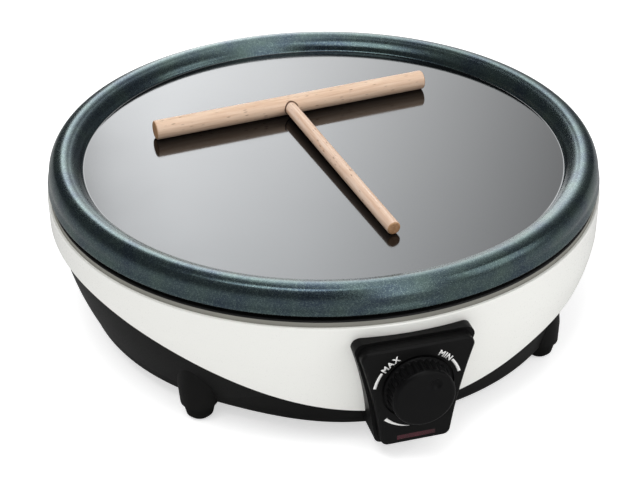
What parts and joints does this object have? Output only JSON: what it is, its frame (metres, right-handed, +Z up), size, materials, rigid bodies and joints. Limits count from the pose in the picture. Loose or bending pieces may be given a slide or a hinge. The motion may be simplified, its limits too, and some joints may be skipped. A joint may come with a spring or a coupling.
{
  "type": "electric crepe maker",
  "caption": "Round electric crepe maker: flat non-stick plate with a raised rim, white band over a black bowl on feet, front thermostat dial, and a wooden T-shaped batter spreader.",
  "frame": {"origin": "on the table, under the centre of the round plate and midway between the four feet", "axes": "+Z up, -Y towards the cook: the control box and its dial are on the -Y side, the cable inlet on +Y"},
  "size_m": [0.334, 0.3576, 0.1101],
  "materials": {
    "band": "gloss white",
    "beech": "sanded, unfinished",
    "body_black": "satin black, finely grained",
    "element": "heat-dulled tube",
    "foot_rubber": "matt black",
    "knob_black": "satin black",
    "lamp": "clear tube",
    "lens_red": "dark red, translucent",
    "plate": "gloss black non-stick face, speckled teal rim",
    "seal": "matt black silicone",
    "shield": "bright sheet",
    "steel": "zinc plated",
    "switch": "moulded pale insulator"
  },
  "bodies": {
    "base": {"base_bowl": "body_black", "cable_inlet": "seal", "control_cover": "body_black", "control_frame": "body_black", "cooking_plate": "plate", "foot_screws": "steel", "heat_shield": "shield", "heating_element": "element", "housing_band": "band", "indicator_lens": "lens_red", "lamp_saddle": "switch", "neon_lamp": "lamp", "pillar_screws": "steel", "plate_pillar_1": "steel", "plate_pillar_2": "steel", "plate_pillar_3": "steel", "plate_pillar_4": "steel", "rubber_foot_1": "foot_rubber", "rubber_foot_2": "foot_rubber", "rubber_foot_3": "foot_rubber", "rubber_foot_4": "foot_rubber", "support_ring": "seal", "terminal_block": "switch", "thermal_fuse": "steel", "thermostat_body": "switch", "thermostat_bracket": "steel", "thermostat_screws": "steel"},
    "dial": {"control_knob": "knob_black", "thermostat_shaft": "steel"},
    "spreader": {"spreader_bar": "beech", "spreader_handle": "beech"}
  },
  "joints": [
    {"name": "dial_turn", "type": "hinge", "parent": "base", "child": "dial", "pos_m": [0, -0.1761, 0.0498], "axis": [0, 1, 0], "range_deg": [0, 285]},
    {"name": "spreader_lift", "type": "slide", "parent": "base", "child": "spreader", "axis": [0, 0, 1], "range_m": [0, 0.15]}
  ]
}
